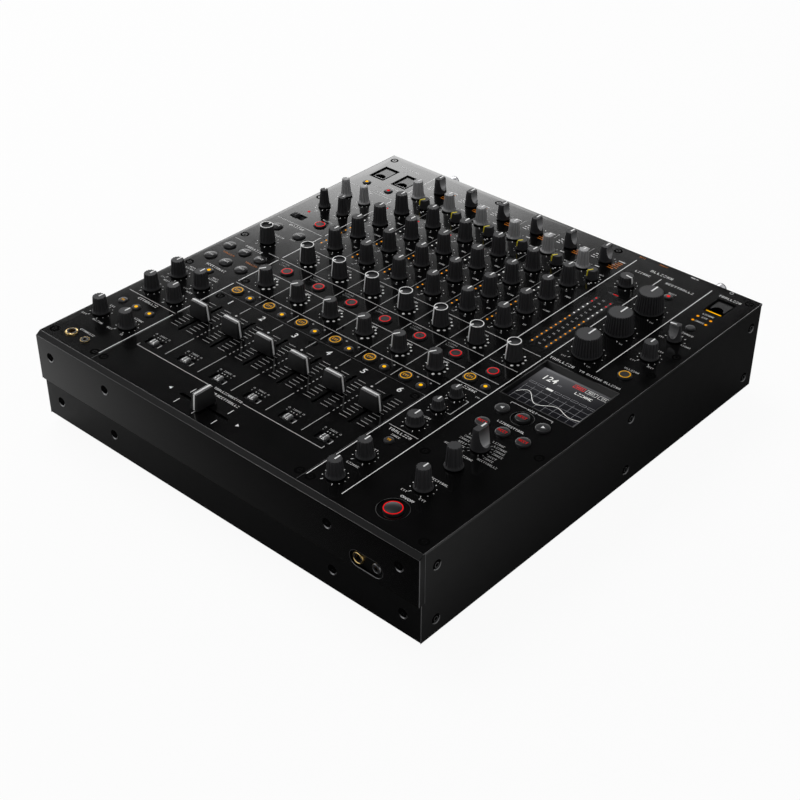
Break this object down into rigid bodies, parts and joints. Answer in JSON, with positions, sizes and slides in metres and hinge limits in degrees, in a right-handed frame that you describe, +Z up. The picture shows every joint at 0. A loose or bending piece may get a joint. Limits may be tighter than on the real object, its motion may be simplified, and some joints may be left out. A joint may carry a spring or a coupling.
{
  "type": "dj mixer",
  "caption": "Desk-top DJ mixer with channel strips, faders, crossfader, isolator, recessed effect display and phones sockets in a low black sheet-metal case.",
  "frame": {"origin": "on the table under the middle of the whole object, at the feet's undersides", "axes": "+Z up, +Y to the rear (connector side), +X to the user's right"},
  "size_m": [0.4094, 0.4404, 0.1078],
  "materials": {
    "panel": "satin black",
    "case": "fine satin black",
    "rubber": "matte",
    "black_steel": "blackened",
    "steel": "plain",
    "board": "solder mask",
    "supply": "plain",
    "screen": "gloss",
    "gold": "gold plated",
    "socket": "moulded",
    "bay": "moulded",
    "lens": "lit",
    "knob": "soft touch",
    "grey_knob": "soft touch",
    "button": "moulded",
    "pale": "moulded"
  },
  "bodies": {
    "chassis": {"top_panel": "panel", "fader_plate": "panel", "bottom_tray": "case", "side_panels": "case", "rear_panel": "case", "rubber_feet": "rubber", "case_screws": "black_steel", "circuit_boards": "board", "power_supply": "supply", "display_screen": "screen", "phones_jacks": "gold", "rear_connectors": "socket", "usb_bays": "bay", "control_pots": "steel", "key_switches": "socket", "fader_tracks": "steel", "level_meters": "lens", "knob_rows": "knob"},
    "master_level": {"master_level": "knob"},
    "isolator_hi": {"isolator_hi": "knob"},
    "isolator_mid": {"isolator_mid": "knob"},
    "isolator_low": {"isolator_low": "knob"},
    "multi_select": {"multi_select": "knob"},
    "multi_level": {"multi_level": "knob"},
    "booth_hi": {"booth_hi": "knob"},
    "booth_low": {"booth_low": "knob"},
    "booth_level": {"booth_level": "knob"},
    "phones_b_mix": {"phones_b_mix": "knob"},
    "phones_b_level": {"phones_b_level": "knob"},
    "fx_select": {"fx_select": "knob"},
    "fx_time": {"fx_time": "knob"},
    "fx_depth": {"fx_depth": "knob"},
    "phones_a_mix": {"phones_a_mix": "knob"},
    "phones_a_level": {"phones_a_level": "knob"},
    "filter_resonance": {"filter_resonance": "knob"},
    "channel_1_selector": {"channel_1_selector": "knob"},
    "channel_1_trim": {"channel_1_trim": "grey_knob"},
    "channel_1_comp": {"channel_1_comp": "knob"},
    "channel_1_hi": {"channel_1_hi": "knob"},
    "channel_1_hi_mid": {"channel_1_hi_mid": "knob"},
    "channel_1_low_mid": {"channel_1_low_mid": "knob"},
    "channel_1_low": {"channel_1_low": "knob"},
    "channel_1_send": {"channel_1_send": "knob"},
    "channel_1_filter": {"channel_1_filter": "knob"},
    "channel_fader_1": {"channel_fader_1": "knob"},
    "channel_fader_2": {"channel_fader_2": "knob"},
    "channel_fader_3": {"channel_fader_3": "knob"},
    "channel_fader_4": {"channel_fader_4": "knob"},
    "channel_fader_5": {"channel_fader_5": "knob"},
    "channel_fader_6": {"channel_fader_6": "knob"},
    "crossfader": {"crossfader": "knob"},
    "assign_switches": {"assign_switches": "pale"},
    "mic_switch": {"mic_switch": "knob"},
    "cue_buttons": {"cue_buttons": "button"},
    "ring_buttons": {"ring_buttons": "button"},
    "led_buttons": {"led_buttons": "button"},
    "round_buttons": {"round_buttons": "button"},
    "fx_buttons": {"fx_buttons": "button"},
    "fx_on_button": {"fx_on_button": "button"},
    "power_switch": {"power_switch": "button"}
  },
  "joints": [
    {"name": "master_level_turn", "type": "hinge", "parent": "chassis", "child": "master_level", "pos_m": [0.1037, 0.1576, 0.0885], "axis": [0, 0, -1], "range_deg": [-250, 50]},
    {"name": "isolator_hi_turn", "type": "hinge", "parent": "chassis", "child": "isolator_hi", "pos_m": [0.1414, 0.1364, 0.0885], "axis": [0, 0, -1], "range_deg": [-150, 150]},
    {"name": "isolator_mid_turn", "type": "hinge", "parent": "chassis", "child": "isolator_mid", "pos_m": [0.1414, 0.0936, 0.0885], "axis": [0, 0, -1], "range_deg": [-150, 150]},
    {"name": "isolator_low_turn", "type": "hinge", "parent": "chassis", "child": "isolator_low", "pos_m": [0.1414, 0.05051, 0.0885], "axis": [0, 0, -1], "range_deg": [-150, 150]},
    {"name": "multi_select_turn", "type": "hinge", "parent": "chassis", "child": "multi_select", "pos_m": [0.1815, 0.1125, 0.0885], "axis": [0, 0, -1], "range_deg": [-50, 250]},
    {"name": "multi_level_turn", "type": "hinge", "parent": "chassis", "child": "multi_level", "pos_m": [0.1815, 0.0782, 0.0885], "axis": [0, 0, -1], "range_deg": [-150, 150]},
    {"name": "booth_hi_turn", "type": "hinge", "parent": "chassis", "child": "booth_hi", "pos_m": [0.1034, -0.06331, 0.0885], "axis": [0, 0, -1], "range_deg": [-150, 150]},
    {"name": "booth_low_turn", "type": "hinge", "parent": "chassis", "child": "booth_low", "pos_m": [0.1034, -0.08421, 0.0885], "axis": [0, 0, -1], "range_deg": [-150, 150]},
    {"name": "booth_level_turn", "type": "hinge", "parent": "chassis", "child": "booth_level", "pos_m": [0.1034, -0.11001, 0.0885], "axis": [0, 0, -1], "range_deg": [-150, 150]},
    {"name": "phones_b_mix_turn", "type": "hinge", "parent": "chassis", "child": "phones_b_mix", "pos_m": [0.1034, -0.16351, 0.0885], "axis": [0, 0, -1], "range_deg": [-150, 150]},
    {"name": "phones_b_level_turn", "type": "hinge", "parent": "chassis", "child": "phones_b_level", "pos_m": [0.1034, -0.1944, 0.0885], "axis": [0, 0, -1], "range_deg": [-150, 150]},
    {"name": "fx_select_turn", "type": "hinge", "parent": "chassis", "child": "fx_select", "pos_m": [0.1582, -0.1015, 0.0885], "axis": [0, 0, -1], "range_deg": [-150, 150]},
    {"name": "fx_time_turn", "type": "hinge", "parent": "chassis", "child": "fx_time", "pos_m": [0.1582, -0.1306, 0.0885], "axis": [0, 0, -1], "continuous": true},
    {"name": "fx_depth_turn", "type": "hinge", "parent": "chassis", "child": "fx_depth", "pos_m": [0.1582, -0.16331, 0.0885], "axis": [0, 0, -1], "range_deg": [-150, 150]},
    {"name": "phones_a_mix_turn", "type": "hinge", "parent": "chassis", "child": "phones_a_mix", "pos_m": [-0.1894, -0.16601, 0.0885], "axis": [0, 0, -1], "range_deg": [-150, 150]},
    {"name": "phones_a_level_turn", "type": "hinge", "parent": "chassis", "child": "phones_a_level", "pos_m": [-0.1565, -0.16601, 0.0885], "axis": [0, 0, -1], "range_deg": [-150, 150]},
    {"name": "filter_resonance_turn", "type": "hinge", "parent": "chassis", "child": "filter_resonance", "pos_m": [-0.173, 0.00681, 0.0885], "axis": [0, 0, -1], "range_deg": [-150, 150]},
    {"name": "channel_1_selector_turn", "type": "hinge", "parent": "chassis", "child": "channel_1_selector", "pos_m": [-0.121, 0.179, 0.0885], "axis": [0, 0, -1], "range_deg": [-60, 60]},
    {"name": "channel_1_trim_turn", "type": "hinge", "parent": "chassis", "child": "channel_1_trim", "pos_m": [-0.1303, 0.1586, 0.0885], "axis": [0, 0, -1], "range_deg": [-150, 150]},
    {"name": "channel_1_comp_turn", "type": "hinge", "parent": "chassis", "child": "channel_1_comp", "pos_m": [-0.1117, 0.1465, 0.0885], "axis": [0, 0, -1], "range_deg": [0, 300]},
    {"name": "channel_1_hi_turn", "type": "hinge", "parent": "chassis", "child": "channel_1_hi", "pos_m": [-0.1219, 0.12631, 0.0885], "axis": [0, 0, -1], "range_deg": [-150, 150]},
    {"name": "channel_1_hi_mid_turn", "type": "hinge", "parent": "chassis", "child": "channel_1_hi_mid", "pos_m": [-0.1219, 0.09734, 0.0885], "axis": [0, 0, -1], "range_deg": [-150, 150]},
    {"name": "channel_1_low_mid_turn", "type": "hinge", "parent": "chassis", "child": "channel_1_low_mid", "pos_m": [-0.1219, 0.06836, 0.0885], "axis": [0, 0, -1], "range_deg": [-150, 150]},
    {"name": "channel_1_low_turn", "type": "hinge", "parent": "chassis", "child": "channel_1_low", "pos_m": [-0.1219, 0.03939, 0.0885], "axis": [0, 0, -1], "range_deg": [-150, 150]},
    {"name": "channel_1_send_turn", "type": "hinge", "parent": "chassis", "child": "channel_1_send", "pos_m": [-0.1219, 0.0057, 0.0885], "axis": [0, 0, -1], "range_deg": [0, 300]},
    {"name": "channel_1_filter_turn", "type": "hinge", "parent": "chassis", "child": "channel_1_filter", "pos_m": [-0.1219, -0.0441, 0.0885], "axis": [0, 0, -1], "range_deg": [0, 300]},
    {"name": "channel_fader_1_slide", "type": "slide", "parent": "chassis", "child": "channel_fader_1", "axis": [0, 1, 0], "range_m": [-0.022, 0.022]},
    {"name": "channel_fader_2_slide", "type": "slide", "parent": "chassis", "child": "channel_fader_2", "axis": [0, 1, 0], "range_m": [-0.022, 0.022]},
    {"name": "channel_fader_3_slide", "type": "slide", "parent": "chassis", "child": "channel_fader_3", "axis": [0, 1, 0], "range_m": [-0.022, 0.022]},
    {"name": "channel_fader_4_slide", "type": "slide", "parent": "chassis", "child": "channel_fader_4", "axis": [0, 1, 0], "range_m": [-0.022, 0.022]},
    {"name": "channel_fader_5_slide", "type": "slide", "parent": "chassis", "child": "channel_fader_5", "axis": [0, 1, 0], "range_m": [-0.022, 0.022]},
    {"name": "channel_fader_6_slide", "type": "slide", "parent": "chassis", "child": "channel_fader_6", "axis": [0, 1, 0], "range_m": [-0.022, 0.022]},
    {"name": "crossfader_slide", "type": "slide", "parent": "chassis", "child": "crossfader", "axis": [1, 0, 0], "range_m": [-0.024, 0.024]},
    {"name": "assign_switches_slide", "type": "slide", "parent": "chassis", "child": "assign_switches", "axis": [1, 0, 0], "range_m": [-0.0025, 0.0025]},
    {"name": "mic_switch_slide", "type": "slide", "parent": "chassis", "child": "mic_switch", "axis": [1, 0, 0], "range_m": [0, 0.006]},
    {"name": "cue_buttons_slide", "type": "slide", "parent": "chassis", "child": "cue_buttons", "axis": [0, 0, -1], "range_m": [0, 0.0008], "stiffness_N_per_m": 400, "springref_m": -0.001},
    {"name": "ring_buttons_slide", "type": "slide", "parent": "chassis", "child": "ring_buttons", "axis": [0, 0, -1], "range_m": [0, 0.0008], "stiffness_N_per_m": 400, "springref_m": -0.001},
    {"name": "led_buttons_slide", "type": "slide", "parent": "chassis", "child": "led_buttons", "axis": [0, 0, -1], "range_m": [0, 0.0008], "stiffness_N_per_m": 400, "springref_m": -0.001},
    {"name": "round_buttons_slide", "type": "slide", "parent": "chassis", "child": "round_buttons", "axis": [0, 0, -1], "range_m": [0, 0.0008], "stiffness_N_per_m": 400, "springref_m": -0.001},
    {"name": "fx_buttons_slide", "type": "slide", "parent": "chassis", "child": "fx_buttons", "axis": [0, 0, -1], "range_m": [0, 0.0008], "stiffness_N_per_m": 400, "springref_m": -0.001},
    {"name": "fx_on_button_slide", "type": "slide", "parent": "chassis", "child": "fx_on_button", "axis": [0, 0, -1], "range_m": [0, 0.0008], "stiffness_N_per_m": 400, "springref_m": -0.001},
    {"name": "power_switch_turn", "type": "hinge", "parent": "chassis", "child": "power_switch", "pos_m": [-0.14795, 0.20466, 0.0342], "axis": [1, 0, 0], "range_deg": [0, 18]}
  ]
}
